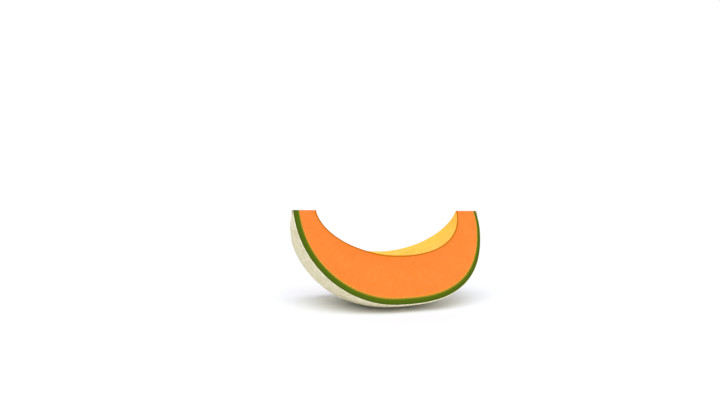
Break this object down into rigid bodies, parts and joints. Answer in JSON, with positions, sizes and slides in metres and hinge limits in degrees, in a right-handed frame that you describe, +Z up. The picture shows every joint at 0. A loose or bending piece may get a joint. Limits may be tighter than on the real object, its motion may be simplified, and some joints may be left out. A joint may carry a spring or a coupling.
{
  "type": "cantaloupe melon wedge",
  "caption": "Wedge of ripe cantaloupe melon lying on its rind, cut lengthwise from end to end, with orange flesh and an open, curved seed hollow along the middle of its top edge.",
  "frame": {"origin": "on the surface that the wedge rests on, under the middle of its length and between its two cut faces", "axes": "+X along the fruit's long axis towards the stem end, +Y from one cut face to the other, +Z up towards the cut edge"},
  "size_m": [0.1622, 0.065, 0.0742],
  "materials": {
    "flesh": "satin",
    "hollow_lining": "satin",
    "green_rind": "satin",
    "skin": "matte",
    "cork_scar": "matte"
  },
  "bodies": {
    "root": {"melon_wedge": "flesh"}
  },
  "joints": []
}
